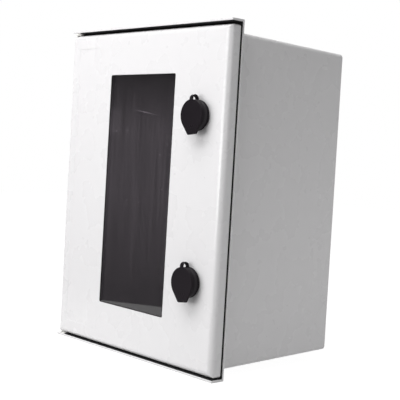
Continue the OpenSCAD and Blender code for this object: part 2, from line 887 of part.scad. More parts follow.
// Ring round the lock's neck with the rear half of the strap
module cover_eyelet(side) {
    color(black) at_cover(side) {
        difference() {
            bar(0, 0, ring_front, ring_back, ring_r);
            bar(0, 0, ring_front - over, ring_back + over, neck_r + ring_gap);
        }
        strap(strap_crown + strap_slit / 2, strap_back);
    }
}

enclosure_body();
rim_seal();
hinge_pin(up);  // hinge_pin_upper
hinge_pin(down);  // hinge_pin_lower
hinge_washer(up);  // hinge_washer_upper
hinge_washer(down);  // hinge_washer_lower
strike(up);  // strike_upper
strike(down);  // strike_lower
strike_screws();
mounting_plate();
plate_inserts();
plate_screws();
door();
hinge_bush(up);  // hinge_bush_upper
hinge_bush(down);  // hinge_bush_lower
window_gasket();
window_pane();
pane_retainer();
retainer_screws();
lock_seal(up);  // lock_seal_upper
lock_housing(up);  // lock_housing_upper
lock_nut(up);  // lock_nut_upper
lock_spindle(up);  // lock_spindle_upper
lock_cam(up);  // lock_cam_upper
cam_screw(up);  // cam_screw_upper
dust_cover(up);  // dust_cover_upper
cover_eyelet(up);  // cover_eyelet_upper
lock_seal(down);  // lock_seal_lower
lock_housing(down);  // lock_housing_lower
lock_nut(down);  // lock_nut_lower
lock_spindle(down);  // lock_spindle_lower
lock_cam(down);  // lock_cam_lower
cam_screw(down);  // cam_screw_lower
dust_cover(down);  // dust_cover_lower
cover_eyelet(down);  // cover_eyelet_lower
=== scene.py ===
import math

import bmesh
import bpy
from mathutils import Matrix, Vector


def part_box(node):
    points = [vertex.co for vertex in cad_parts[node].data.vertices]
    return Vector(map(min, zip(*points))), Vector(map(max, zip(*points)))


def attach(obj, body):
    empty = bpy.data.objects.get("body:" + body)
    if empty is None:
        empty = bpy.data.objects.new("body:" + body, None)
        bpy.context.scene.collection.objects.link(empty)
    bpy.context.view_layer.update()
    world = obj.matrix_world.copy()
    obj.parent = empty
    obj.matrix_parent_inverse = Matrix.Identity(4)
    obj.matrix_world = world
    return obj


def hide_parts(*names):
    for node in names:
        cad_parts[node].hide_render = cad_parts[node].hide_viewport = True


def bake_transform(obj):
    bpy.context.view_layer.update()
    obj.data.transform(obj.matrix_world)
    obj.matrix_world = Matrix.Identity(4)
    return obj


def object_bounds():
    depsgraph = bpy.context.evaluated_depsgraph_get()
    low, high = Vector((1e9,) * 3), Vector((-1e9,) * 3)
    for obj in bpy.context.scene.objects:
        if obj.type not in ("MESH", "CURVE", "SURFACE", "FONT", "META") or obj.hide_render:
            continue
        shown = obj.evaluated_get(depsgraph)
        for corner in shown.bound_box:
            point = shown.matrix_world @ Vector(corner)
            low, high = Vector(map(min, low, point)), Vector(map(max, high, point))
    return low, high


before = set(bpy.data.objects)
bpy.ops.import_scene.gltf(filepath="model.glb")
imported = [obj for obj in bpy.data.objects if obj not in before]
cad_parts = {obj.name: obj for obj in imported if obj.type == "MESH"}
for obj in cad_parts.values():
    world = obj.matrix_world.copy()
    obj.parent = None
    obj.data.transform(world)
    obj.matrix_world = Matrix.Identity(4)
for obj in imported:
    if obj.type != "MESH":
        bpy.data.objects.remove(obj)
cad_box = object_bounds()

# Enclosure body: one deep box with a rim flange and two lips, hot-pressed from sheet moulding
# compound, which is polyester resin with chopped glass fibre. The draft of its walls, the coves
# under the flange and the bosses inside all come straight out of the press tool.
MM = 0.001
# Depths count back from the door's face, which lies at this Y.
FRONT = -210 * MM
MERGE = 0.001 * MM
SHARP_ANGLE = 40


def linear(code):
    """Turns an sRGB hex colour into the linear colour that a shader takes."""
    parts = [int(code[i:i + 2], 16) / 255 for i in (1, 3, 5)]
    return tuple(c / 12.92 if c <= 0.04045 else ((c + 0.055) / 1.055) ** 2.4 for c in parts) + (1.0,)


def start_material(name):
    """A new material with nothing in it yet, its tree, and the piece's own coordinates."""
    material = bpy.data.materials.new(name)
    material.use_nodes = True
    tree = material.node_tree
    tree.nodes.clear()
    place = tree.nodes.new("ShaderNodeTexCoord").outputs["Object"]
    return material, tree, place


def put(tree, kind, inputs=None, **settings):
    """Adds a node, sets it up, and fills its inputs from other nodes or plain values."""
    node = tree.nodes.new(kind)
    for name, value in settings.items():
        setattr(node, name, value)
    for name, value in (inputs or {}).items():
        if isinstance(value, bpy.types.NodeSocket):
            tree.links.new(value, node.inputs[name])
        else:
            node.inputs[name].default_value = value
    return node


def copied(node):
    """A copy of a CAD solid, with its triangles merged into whole faces."""
    form = bmesh.new()
    form.from_mesh(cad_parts[node].data)
    bmesh.ops.remove_doubles(form, verts=form.verts, dist=2 * MERGE)
    bmesh.ops.dissolve_limit(form, angle_limit=math.radians(0.3), verts=form.verts, edges=form.edges)
    return form


def sharp_edges(form, angle):
    """The edges whose two faces meet at more than this angle, in degrees."""
    return [e for e in form.edges if len(e.link_faces) == 2 and e.calc_face_angle() > math.radians(angle)]


def rounded(form, geom, radius, steps, affect="EDGES"):
    """Rounds edges, or the corners of a flat face, to a radius in mm."""
    bmesh.ops.bevel(
        form, geom=geom, offset=radius * MM, offset_type="OFFSET", affect=affect,
        segments=steps, profile=0.5, material=-1, clamp_overlap=False,
    )


def eased(form, radius, wanted=lambda edge: True, steps=3):
    """Gives the sharp edges that are wanted the small radius that a tool leaves on them."""
    rounded(form, [e for e in sharp_edges(form, SHARP_ANGLE) if wanted(e)], radius, steps)
    return form


def longer_than(size):
    """A test for edges longer than this many millimetres."""
    return lambda edge: edge.calc_length() > size * MM


def settle(form, name, material, body, slot, *nodes):
    """Makes a form a piece with its finish, puts it on its body, and hides the solids it stands for."""
    mesh = bpy.data.meshes.new(name)
    form.to_mesh(mesh)
    form.free()
    if "custom_normal" in mesh.attributes:
        mesh.attributes.remove(mesh.attributes["custom_normal"])
    mesh.materials.clear()
    mesh.materials.append(material)
    mesh.shade_smooth()
    mesh.set_sharp_from_angle(angle=math.radians(38))
    piece = bpy.data.objects.new(name, mesh)
    bpy.context.scene.collection.objects.link(piece)
    even = piece.modifiers.new("even_flats", "WEIGHTED_NORMAL")
    even.weight = 90
    even.keep_sharp = True
    if body:
        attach(piece, body)
    if nodes:
        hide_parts(*nodes)
    return piece


def dress(material, *names):
    """Gives CAD solids a finish by filling their material slots."""
    for name in names:
        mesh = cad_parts[name].data
        mesh.materials.clear()
        mesh.materials.append(material)


# Sheet moulding compound off a polished tool: near-white, satin, with soft clouds where the resin
# flowed, a faint print of the chopped fibre, the slight ripple of a large pressed face, and a few
# specks of workshop dust.
polyester, tree, place = start_material("pressed_polyester")
flow = put(tree, "ShaderNodeTexNoise", {"Vector": place, "Scale": 1 / (34 * MM), "Detail": 3.0})
fibres = []
for lie in ((0.5, 0.7, 0.6), (1.1, -0.6, 2.1)):
    fibre_lie = put(tree, "ShaderNodeMapping", {"Vector": place, "Rotation": lie, "Scale": (1, 1, 0.16)})
    fibre = put(tree, "ShaderNodeTexNoise", {"Vector": fibre_lie.outputs[0], "Scale": 1 / (2.4 * MM)})
    fibres.append(fibre.outputs[0])
crossed = put(tree, "ShaderNodeMath", {0: fibres[0], 1: fibres[1]}, operation="MAXIMUM")
fleck = put(tree, "ShaderNodeTexNoise", {"Vector": place, "Scale": 1 / (1.1 * MM), "Detail": 1.0})
motes = put(tree, "ShaderNodeTexVoronoi", {"Vector": place, "Scale": 1 / (26 * MM)})
clouded = put(tree, "ShaderNodeMix", {
    0: flow.outputs[0], 6: linear("#E5E4E5"), 7: linear("#E7E6E7"),
}, data_type="RGBA")
fibre_print = put(tree, "ShaderNodeMapRange", {0: crossed.outputs[0], 1: 0.6, 2: 0.78, 3: 0.0, 4: 0.12})
printed = put(tree, "ShaderNodeMix", {
    0: fibre_print.outputs[0], 6: clouded.outputs[2], 7: linear("#D6D4D6"),
}, data_type="RGBA")
mote = put(tree, "ShaderNodeMapRange", {0: motes.outputs[0], 1: 0.02, 2: 0.032, 3: 0.35, 4: 0.0})
dusted = put(tree, "ShaderNodeMix", {
    0: mote.outputs[0], 6: printed.outputs[2], 7: linear("#9A9A99"),
}, data_type="RGBA")
sheen = put(tree, "ShaderNodeMapRange", {0: flow.outputs[0], 1: 0.3, 2: 0.7, 3: 0.265, 4: 0.285})
ripple = put(tree, "ShaderNodeBump", {"Height": flow.outputs[0], "Strength": 0.035, "Distance": 0.4 * MM})
grain = put(tree, "ShaderNodeBump", {
    "Height": fleck.outputs[0], "Strength": 0.06, "Distance": 0.05 * MM, "Normal": ripple.outputs[0],
})
skin = put(tree, "ShaderNodeBsdfPrincipled", {
    "Base Color": dusted.outputs[2], "Roughness": sheen.outputs[0], "Normal": grain.outputs[0], "IOR": 1.52,
})
put(tree, "ShaderNodeOutputMaterial", {"Surface": skin.outputs[0]})


COVE_START = 22
COVE_END = 30


def clear_of_coves(edge):
    """True for the shell's long edges, but not for those where the coves run out into the walls."""
    depth = (edge.verts[0].co.y + edge.verts[1].co.y) / 2 - FRONT
    return edge.calc_length() > 8 * MM and not COVE_START * MM < depth < COVE_END * MM


shell = eased(copied("enclosure_body"), 0.3, clear_of_coves)
settle(shell, "pressed_shell", polyester, "enclosure", "polyester", "enclosure_body")

# Threaded inserts: four turned brass sleeves pressed into the bosses in the back of the shell, so
# that the mounting plate's screws run in metal and not in the moulding.
# Turned brass: yellow, with the fine rings that the tool leaves.
brass, tree, place = start_material("turned_brass")
rings = put(tree, "ShaderNodeTexWave", {
    "Vector": place, "Scale": 1 / (6 * MM), "Distortion": 0.4,
}, wave_type="BANDS", bands_direction="Y")
tarnish = put(tree, "ShaderNodeTexNoise", {"Vector": place, "Scale": 1 / (3 * MM), "Detail": 3.0})
yellow = put(tree, "ShaderNodeMix", {
    0: tarnish.outputs[0], 6: linear("#C9A55A"), 7: linear("#A8843F"),
}, data_type="RGBA")
cut = put(tree, "ShaderNodeMapRange", {0: rings.outputs[1], 1: 0.0, 2: 1.0, 3: 0.22, 4: 0.36})
metal = put(tree, "ShaderNodeBsdfPrincipled", {
    "Base Color": yellow.outputs[2], "Metallic": 1.0, "Roughness": cut.outputs[0],
})
put(tree, "ShaderNodeOutputMaterial", {"Surface": metal.outputs[0]})
dress(brass, "plate_inserts")

# Mounting plate: a sheet of galvanised steel with notched corners that stands on four bosses in
# the back of the shell and carries the switchgear.
# Hot-dip galvanised sheet: dull silver broken into spangles, each with its own grey and gloss.
galvanised, tree, place = start_material("galvanised_sheet")
spangle = put(tree, "ShaderNodeTexVoronoi", {"Vector": place, "Scale": 1 / (9 * MM)})
frost = put(tree, "ShaderNodeTexNoise", {"Vector": place, "Scale": 1 / (1.5 * MM), "Detail": 2.0})
spangle_tone = put(tree, "ShaderNodeSeparateColor", {0: spangle.outputs[1]})
zinc_grey = put(tree, "ShaderNodeMix", {
    0: spangle_tone.outputs[0], 6: linear("#A9AEB1"), 7: linear("#C6CACC"),
}, data_type="RGBA")
dull = put(tree, "ShaderNodeMapRange", {0: spangle_tone.outputs[1], 1: 0.0, 2: 1.0, 3: 0.34, 4: 0.56})
frosted = put(tree, "ShaderNodeBump", {"Height": frost.outputs[0], "Strength": 0.12, "Distance": 0.05 * MM})
metal = put(tree, "ShaderNodeBsdfPrincipled", {
    "Base Color": zinc_grey.outputs[2], "Metallic": 1.0, "Roughness": dull.outputs[0],
    "Normal": frosted.outputs[0],
})
put(tree, "ShaderNodeOutputMaterial", {"Surface": metal.outputs[0]})
plate = eased(copied("mounting_plate"), 0.3, longer_than(3))
settle(plate, "notched_plate", galvanised, "enclosure", "galvanised_steel", "mounting_plate")

# Plate screws: four steel pan-head screws with cross recesses that run through the plate into the
# brass inserts. Screws like them, but smaller, hold the strikes and the pane's retainer.
ROUND = 2 * math.pi


def turned(outline, steps=64):
    """Spins an outline of (radius, depth, corner radius) in mm about the depth axis."""
    form = bmesh.new()
    corners = [form.verts.new((radius * MM, depth * MM, 0)) for radius, depth, corner in outline]
    form.faces.new(corners)
    for vert, (radius, depth, corner) in zip(corners, outline):
        if corner:
            rounded(form, [vert], corner, 4, "VERTICES")
    bmesh.ops.delete(form, geom=form.faces[:], context="FACES_ONLY")
    bmesh.ops.spin(
        form, geom=form.verts[:] + form.edges[:], cent=(0, 0, 0), axis=(0, 1, 0), dvec=(0, 0, 0),
        angle=ROUND, steps=steps, use_merge=True,
    )
    bmesh.ops.remove_doubles(form, verts=form.verts, dist=MERGE)
    bmesh.ops.delete(form, geom=[e for e in form.edges if not e.link_faces], context="EDGES")
    bmesh.ops.recalc_face_normals(form, faces=form.faces)
    return form


def verts_in(geom):
    """The vertices in what an operator made."""
    return [part for part in geom if isinstance(part, bmesh.types.BMVert)]


def edges_in(geom):
    """The edges in what an operator made."""
    return [part for part in geom if isinstance(part, bmesh.types.BMEdge)]


def cross_screw(head_r, head_t, shank_r, shank):
    """A pan-head screw on the depth axis: its seat at 0, its head forward, a cross recess in the head."""
    form = turned([
        (0, -head_t, 0), (0.62 * head_r, -head_t, 0), (0.86 * head_r, -0.86 * head_t, 0.2 * head_r),
        (head_r, -0.5 * head_t, 0.2 * head_r), (head_r, 0, 0.1 * head_r), (shank_r, 0, 0),
        (shank_r, shank - shank_r, 0), (0.3 * shank_r, shank, 0), (0, shank, 0),
    ], steps=32)
    top = min(form.verts, key=lambda v: v.co.y + v.co.x ** 2 + v.co.z ** 2)
    bmesh.ops.delete(form, geom=[top], context="VERTS")
    rim = [e for e in form.edges if e.is_boundary]
    long, slim = 0.52 * head_r * MM, 0.13 * head_r * MM
    arm = [(long, -slim), (long, slim), (slim, slim)]
    points = []
    for quarter in range(4):
        turn = Matrix.Rotation(quarter * math.pi / 2, 2)
        points += [turn @ Vector(p) for p in arm]
    verts = [form.verts.new((p.x, -head_t * MM, p.y)) for p in points]
    cross = [form.edges.new((verts[i - 1], verts[i])) for i in range(len(verts))]
    bmesh.ops.bridge_loops(form, edges=rim + cross)
    made = bmesh.ops.extrude_edge_only(form, edges=cross)["geom"]
    foot = verts_in(made)
    narrow = Matrix.Diagonal((0.6, 1, 0.6, 1))
    bmesh.ops.transform(form, matrix=narrow, verts=foot)
    bmesh.ops.translate(form, verts=foot, vec=(0, 0.6 * head_t * MM, 0))
    bmesh.ops.contextual_create(form, geom=edges_in(made))
    bmesh.ops.recalc_face_normals(form, faces=form.faces)
    return form


def repeated(form, places):
    """Copies a finished form to each of these places, and takes the first one away."""
    first = form.verts[:] + form.edges[:] + form.faces[:]
    for place in places:
        copy = bmesh.ops.duplicate(form, geom=first)["geom"]
        bmesh.ops.transform(form, matrix=place, verts=verts_in(copy))
    bmesh.ops.delete(form, geom=verts_in(first), context="VERTS")
    return form


# Bright zinc plate over steel: clear bluish silver with a fine uneven gloss.
zinc_plate, tree, place = start_material("zinc_plated_steel")
bloom = put(tree, "ShaderNodeTexNoise", {"Vector": place, "Scale": 1 / (5 * MM), "Detail": 3.0})
scuff = put(tree, "ShaderNodeTexNoise", {"Vector": place, "Scale": 1 / (0.7 * MM), "Detail": 2.0})
blue_white = put(tree, "ShaderNodeMix", {
    0: bloom.outputs[0], 6: linear("#BFC5CB"), 7: linear("#D2D4D3"),
}, data_type="RGBA")
uneven = put(tree, "ShaderNodeMapRange", {0: bloom.outputs[0], 1: 0.3, 2: 0.7, 3: 0.24, 4: 0.38})
scuffed = put(tree, "ShaderNodeBump", {"Height": scuff.outputs[0], "Strength": 0.08, "Distance": 0.03 * MM})
metal = put(tree, "ShaderNodeBsdfPrincipled", {
    "Base Color": blue_white.outputs[2], "Metallic": 1.0, "Roughness": uneven.outputs[0],
    "Normal": scuffed.outputs[0],
})
put(tree, "ShaderNodeOutputMaterial", {"Surface": metal.outputs[0]})
PLATE_HEAD_R = 6
PLATE_FACE = 192.5
plate_seat = FRONT + PLATE_FACE * MM
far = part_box("plate_screws")[1]
plate_places = [
    Matrix.Translation((sx * (far[0] - PLATE_HEAD_R * MM), plate_seat, sz * (far[2] - PLATE_HEAD_R * MM)))
    for sx in (-1, 1) for sz in (-1, 1)
]
screws = repeated(cross_screw(PLATE_HEAD_R, head_t=4, shank_r=3, shank=11), plate_places)
settle(screws, "plate_pan_screws", zinc_plate, "enclosure", "zinc_screws", "plate_screws")

# Strikes: two bent steel brackets screwed to pads on the right wall, behind which the lock cams
# turn. They are stamped from strip, bent once, and plated as the screws are.
DOOR_RISE = 0.8
LOCK_HALF_PITCH = 93.8
LOCK_Z = {"upper": (DOOR_RISE + LOCK_HALF_PITCH) * MM, "lower": (DOOR_RISE - LOCK_HALF_PITCH) * MM}
STRIKE_BEND = 3
STRIKE_FACE_X = 131.8
STRIKE_SCREW_DEPTH = 35.2
STRIKE_SCREW_Z = 7
CORNER_REACH = 0.01
for level in LOCK_Z:
    strike = copied("strike_" + level)
    bend_x = max(v.co.x for v in strike.verts)
    bend_y = min(v.co.y for v in strike.verts)
    bend = [
        e for e in strike.edges
        if all(v.co.x > bend_x - CORNER_REACH * MM and v.co.y < bend_y + CORNER_REACH * MM for v in e.verts)
    ]
    rounded(strike, bend, STRIKE_BEND, 6)
    eased(strike, 0.35, longer_than(1.5))
    settle(strike, "bent_strike_" + level, zinc_plate, "enclosure", "zinc_steel", "strike_" + level)
strike_seat = (STRIKE_FACE_X * MM, FRONT + STRIKE_SCREW_DEPTH * MM)
facing_left = Matrix.Rotation(-math.pi / 2, 4, "Z")
strike_places = [
    Matrix.Translation((*strike_seat, z + s * STRIKE_SCREW_Z * MM)) @ facing_left
    for z in LOCK_Z.values() for s in (-1, 1)
]
screws = repeated(cross_screw(head_r=3.6, head_t=2.4, shank_r=2, shank=4.6), strike_places)
settle(screws, "strike_pan_screws", zinc_plate, "enclosure", "zinc_screws", "strike_screws")

# Hinge pins: two short ground steel pins with broken edges, pressed into the lips on the axis of
# the door's edge.
# Ground stainless steel: grey, with fine rings round the pin.
ground, tree, place = start_material("ground_stainless")
grind = put(tree, "ShaderNodeTexWave", {
    "Vector": place, "Scale": 1 / (4 * MM), "Distortion": 1.5, "Detail": 2.0,
}, wave_type="BANDS", bands_direction="Z")
ring_gloss = put(tree, "ShaderNodeMapRange", {0: grind.outputs[1], 1: 0.0, 2: 1.0, 3: 0.2, 4: 0.34})
metal = put(tree, "ShaderNodeBsdfPrincipled", {
    "Base Color": linear("#B9BAB8"), "Metallic": 1.0, "Roughness": ring_gloss.outputs[0],
})
put(tree, "ShaderNodeOutputMaterial", {"Surface": metal.outputs[0]})
for level in LOCK_Z:
    pin = eased(copied("hinge_pin_" + level), 0.4)
    settle(pin, "ground_pin_" + level, ground, "enclosure", "pin_steel", "hinge_pin_" + level)

# Thrust washers: white acetal rings on the pins, which carry the door's weight on the lips.
# Turned acetal: milky white and waxy, with the fine rings of the lathe.
acetal, tree, place = start_material("turned_acetal")
lathe = put(tree, "ShaderNodeTexWave", {
    "Vector": place, "Scale": 1 / (5 * MM), "Distortion": 0.6,
}, wave_type="RINGS", rings_direction="Z")
milky = put(tree, "ShaderNodeMix", {
    0: lathe.outputs[1], 6: linear("#E4E3DF"), 7: linear("#ECEBE7"),
}, data_type="RGBA")
lathe_marks = put(tree, "ShaderNodeBump", {
    "Height": lathe.outputs[1], "Strength": 0.1, "Distance": 0.03 * MM,
})
skin = put(tree, "ShaderNodeBsdfPrincipled", {
    "Base Color": milky.outputs[2], "Roughness": 0.42, "IOR": 1.48, "Normal": lathe_marks.outputs[0],
})
put(tree, "ShaderNodeOutputMaterial", {"Surface": skin.outputs[0]})
for level in LOCK_Z:
    washer = eased(copied("hinge_washer_" + level), 0.3)
    settle(washer, "thrust_washer_" + level, acetal, "enclosure", "white_acetal", "hinge_washer_" + level)

# Rim seal: a soft black frame glued to the flange, with thin legs that line the two lips. The
# closed door presses it a little, most at the side with the locks.
# Sponge rubber: black and dry, with fine pores in its skin and a little pale dust.
rubber, tree, place = start_material("sponge_rubber")
pores = put(tree, "ShaderNodeTexVoronoi", {"Vector": place, "Scale": 1 / (0.8 * MM)})
dusty = put(tree, "ShaderNodeTexNoise", {"Vector": place, "Scale": 1 / (14 * MM), "Detail": 4.0})
dust_on = put(tree, "ShaderNodeMapRange", {0: dusty.outputs[0], 1: 0.45, 2: 0.75, 3: 0.0, 4: 0.5})
soot = put(tree, "ShaderNodeMix", {
    0: dust_on.outputs[0], 6: linear("#121213"), 7: linear("#232324"),
}, data_type="RGBA")
pitted = put(tree, "ShaderNodeBump", {"Height": pores.outputs[0], "Strength": 0.3, "Distance": 0.08 * MM})
skin = put(tree, "ShaderNodeBsdfPrincipled", {
    "Base Color": soot.outputs[2], "Roughness": 0.8, "Normal": pitted.outputs[0], "IOR": 1.5,
    "Specular IOR Level": 0.2,
})
put(tree, "ShaderNodeOutputMaterial", {"Surface": skin.outputs[0]})
SQUEEZE = 0.6
DOOR_HALF_X = 148.5
SEAL_FRONT = 14.6
DOOR_REAR = 14.4
NEAR = 0.1


def squeezed(form, depth):
    """Leans the face at a depth back, from nothing at the hinges to the full squeeze at the locks."""
    for vert in form.verts:
        if (depth - NEAR) * MM < vert.co.y - FRONT < (depth + NEAR) * MM:
            vert.co.y += SQUEEZE * (vert.co.x / MM + DOOR_HALF_X) / (2 * DOOR_HALF_X) * MM
    return form


seal = eased(squeezed(copied("rim_seal"), SEAL_FRONT), 0.3, longer_than(4))
settle(seal, "rim_seal_frame", rubber, "enclosure", "black_rubber", "rim_seal")

# Door: a shallow tray pressed from the same compound as the body, with rounded edges, a window
# opening with an eased edge, and a shallow tapered recess beside its hinges.
WINDOW_REACH_X = 62
WINDOW_REACH_Z = 143.5


def round_window(edge):
    """True for the edges of the window opening on the door's front."""
    middle = (edge.verts[0].co + edge.verts[1].co) / 2
    in_window = abs(middle.x) < WINDOW_REACH_X * MM and abs(middle.z) < WINDOW_REACH_Z * MM
    return in_window and middle.y < FRONT + CORNER_REACH * MM


def behind_front(edge):
    """True for the door's long edges that lie well behind its front."""
    return min(v.co.y for v in edge.verts) > FRONT + 1.5 * MM and edge.calc_length() > 6 * MM


tray = squeezed(copied("door"), DOOR_REAR)
eased(eased(tray, 0.6, round_window), 0.25, behind_front)
settle(tray, "pressed_door", polyester, "door", "polyester", "door")

# Hinge bushes: black nylon sleeves pushed into the door's hinge bosses.
# Black glass-filled nylon: near-black and matt, with the fine spark-eroded grain of its tool.
# The grain is drawn at 0.6 mm, coarser than the real one, so that it shows at all.
nylon, tree, place = start_material("black_nylon")
spark = put(tree, "ShaderNodeTexNoise", {"Vector": place, "Scale": 1 / (0.6 * MM), "Detail": 2.0})
handled = put(tree, "ShaderNodeTexNoise", {"Vector": place, "Scale": 1 / (9 * MM), "Detail": 3.0})
blacks = put(tree, "ShaderNodeMix", {
    0: handled.outputs[0], 6: linear("#1A161A"), 7: linear("#211D21"),
}, data_type="RGBA")
matt = put(tree, "ShaderNodeMapRange", {0: handled.outputs[0], 1: 0.3, 2: 0.7, 3: 0.46, 4: 0.58})
sparked = put(tree, "ShaderNodeBump", {"Height": spark.outputs[0], "Strength": 0.25, "Distance": 0.06 * MM})
skin = put(tree, "ShaderNodeBsdfPrincipled", {
    "Base Color": blacks.outputs[2], "Roughness": matt.outputs[0], "Normal": sparked.outputs[0], "IOR": 1.53,
    "Specular IOR Level": 0.2,
})
put(tree, "ShaderNodeOutputMaterial", {"Surface": skin.outputs[0]})
dress(nylon, "hinge_bush_upper", "hinge_bush_lower")

# Window gasket: a soft moulded frame that lines the opening with a narrow lip and cushions the
# pane, whose raised field it holds.
SIGHT = (120.6, 282.3)
LIP_OPENED = 0.9
LIP_REACH_X = 60
LIP_REACH_Z = 141
gasket = copied("window_gasket")
for sx in (-1, 1):
    for sz in (-1, 1):
        corner = [
            v for v in gasket.verts
            if 0 < sx * v.co.x < LIP_REACH_X * MM and 0 < sz * (v.co.z - DOOR_RISE * MM) < LIP_REACH_Z * MM
        ]
        bmesh.ops.translate(gasket, verts=corner, vec=(sx * LIP_OPENED * MM, 0, sz * LIP_OPENED * MM))
eased(gasket, 0.2, longer_than(4))
settle(gasket, "window_gasket_frame", rubber, "door", "black_rubber", "window_gasket")

# Window pane: a moulded sheet of smoked polycarbonate, laid on the gasket from behind. Its middle is
# raised into the opening, almost to the door's face.
# Smoked polycarbonate: dark grey, clear and glossy, with wiping streaks that run up and down, a
# smear across its upper half, a few specks of dust and a hairline scratch.
pane, tree, place = start_material("smoked_polycarbonate")
at = put(tree, "ShaderNodeSeparateXYZ", {0: place}).outputs
wipe_lie = put(tree, "ShaderNodeMapping", {"Vector": place, "Scale": (1, 1, 0.03)})
wiped = put(tree, "ShaderNodeTexNoise", {
    "Vector": wipe_lie.outputs[0], "Scale": 1 / (4 * MM), "Detail": 4.0, "Roughness": 0.75,
})
streak = put(tree, "ShaderNodeMapRange", {0: wiped.outputs[0], 1: 0.3, 2: 0.7, 3: 0.036, 4: 0.096})
specks = put(tree, "ShaderNodeTexVoronoi", {"Vector": place, "Scale": 1 / (12 * MM)})
speck = put(tree, "ShaderNodeMapRange", {0: specks.outputs[0], 1: 0.045, 2: 0.075, 3: 0.25, 4: 0.0})


def ramp(value, low, high, first, last):
    """A value that runs from one level to another between two places, given in mm."""
    level = put(tree, "ShaderNodeMapRange", {0: value, 1: low * MM, 2: high * MM, 3: first, 4: last})
    return level.outputs[0]


def product(first, *others):
    """The values multiplied together."""
    for other in others:
        first = put(tree, "ShaderNodeMath", {0: first, 1: other}, operation="MULTIPLY").outputs[0]
    return first


wiped_ends = product(streak.outputs[0], ramp(at[2], 142, 75, 0.05, 1.0), ramp(at[2], -120, 0, 0.35, 1.0))
smear = product(
    ramp(at[0], -42, -36, 0.018, 0.0), ramp(at[2], 66, 74, 0.0, 1.0), ramp(at[2], 98, 102, 1.0, 0.0),
)
scratch_lie = put(tree, "ShaderNodeMapping", {
    "Vector": place, "Location": (0, 0, -97.6 * MM), "Rotation": (0, -0.136, 0),
})
scratch_at = put(tree, "ShaderNodeSeparateXYZ", {0: scratch_lie.outputs[0]})
scratch_off = put(tree, "ShaderNodeMath", {0: scratch_at.outputs[2]}, operation="ABSOLUTE")
scratch = product(
    ramp(scratch_off.outputs[0], 0.3, 0.9, 0.16, 0.0),
    ramp(at[0], -14, 4, 0.0, 1.0), ramp(at[0], 10, 32, 1.0, 0.0),
)
film = wiped_ends
for mark in (smear, scratch, speck.outputs[0]):
    film = put(tree, "ShaderNodeMath", {0: film, 1: mark}, operation="ADD").outputs[0]
sheet = put(tree, "ShaderNodeBsdfPrincipled", {
    "Base Color": linear("#5A5759"), "Roughness": 0.03, "IOR": 1.585, "Transmission Weight": 1.0,
})
haze = put(tree, "ShaderNodeBsdfDiffuse", {"Color": linear("#BAB0BA")})
hazed = put(tree, "ShaderNodeMixShader", {0: film, 1: sheet.outputs[0], 2: haze.outputs[0]})
put(tree, "ShaderNodeOutputMaterial", {"Surface": hazed.outputs[0]})
PANE_FRONT = 0.9
PANE_CORNER = 1.2
# How far each step of the pane's side goes outward and back: the raised side, the rim, the rim's edge.
PANE_STEPS = ((0, 3.3), (8.7, 0), (0, 3.0))
field = bmesh.new()
bmesh.ops.create_grid(field, x_segments=1, y_segments=1, size=0.5)
bmesh.ops.scale(field, verts=field.verts, vec=(SIGHT[0] * MM, SIGHT[1] * MM, 1))
pane_place = Matrix.Translation((0, FRONT + PANE_FRONT * MM, DOOR_RISE * MM))
bmesh.ops.transform(field, matrix=pane_place @ Matrix.Rotation(math.pi / 2, 4, "X"), verts=field.verts)
rounded(field, field.verts[:], PANE_CORNER, 4, "VERTICES")
rim = [e for e in field.edges if e.is_boundary]
for spread, back in PANE_STEPS:
    made = bmesh.ops.extrude_edge_only(field, edges=rim)["geom"]
    rim = edges_in(made)
    for vert in verts_in(made):
        out_x = math.copysign(spread, vert.co.x)
        out_z = math.copysign(spread, vert.co.z - DOOR_RISE * MM)
        vert.co += Vector((out_x, back, out_z)) * MM
bmesh.ops.contextual_create(field, geom=rim)
bmesh.ops.recalc_face_normals(field, faces=field.faces)
eased(field, 0.25, longer_than(4))
settle(field, "raised_pane", pane, "door", "smoked_pane", "window_pane").data.shade_flat()

# Pane retainer: a flat nylon frame that clamps the pane and its gasket to the door, held by small
# screws in the door's moulded bosses.
clamp = eased(copied("pane_retainer"), 0.4, longer_than(4))
settle(clamp, "retainer_frame", nylon, "door", "black_nylon", "pane_retainer")
RETAINER_BACK = 9.2
RETAINER_SIDE_X = 73.5
RETAINER_PITCH = 84
RETAINER_END_Z = 154.35
facing_back = Matrix.Rotation(math.pi, 4, "X")
spots = [(s * RETAINER_SIDE_X, DOOR_RISE + (i - 1.5) * RETAINER_PITCH) for s in (-1, 1) for i in range(4)]
spots += [(0, DOOR_RISE + s * RETAINER_END_Z) for s in (-1, 1)]
retainer_places = [
    Matrix.Translation((x * MM, FRONT + RETAINER_BACK * MM, z * MM)) @ facing_back for x, z in spots
]
screws = repeated(cross_screw(head_r=2.8, head_t=2, shank_r=1.5, shank=6.2), retainer_places)
settle(screws, "retainer_pan_screws", zinc_plate, "door", "zinc_screws", "retainer_screws")

# Locks: a moulded nylon housing through the door, with a rubber seal under its head and a steel nut
# on its threaded barrel, a key-turned spindle, and a stamped cam held by a hexagon screw.
LOCK_X = 106 * MM
THREAD_PITCH = 1.5
THREAD_TURNS = 12
STEPS_A_TURN = 32


def joined(form, *others):
    """Adds other forms to a form and frees them."""
    for other in others:
        mesh = bpy.data.meshes.new("loose")
        other.to_mesh(mesh)
        other.free()
        form.from_mesh(mesh)
        bpy.data.meshes.remove(mesh)
    return form


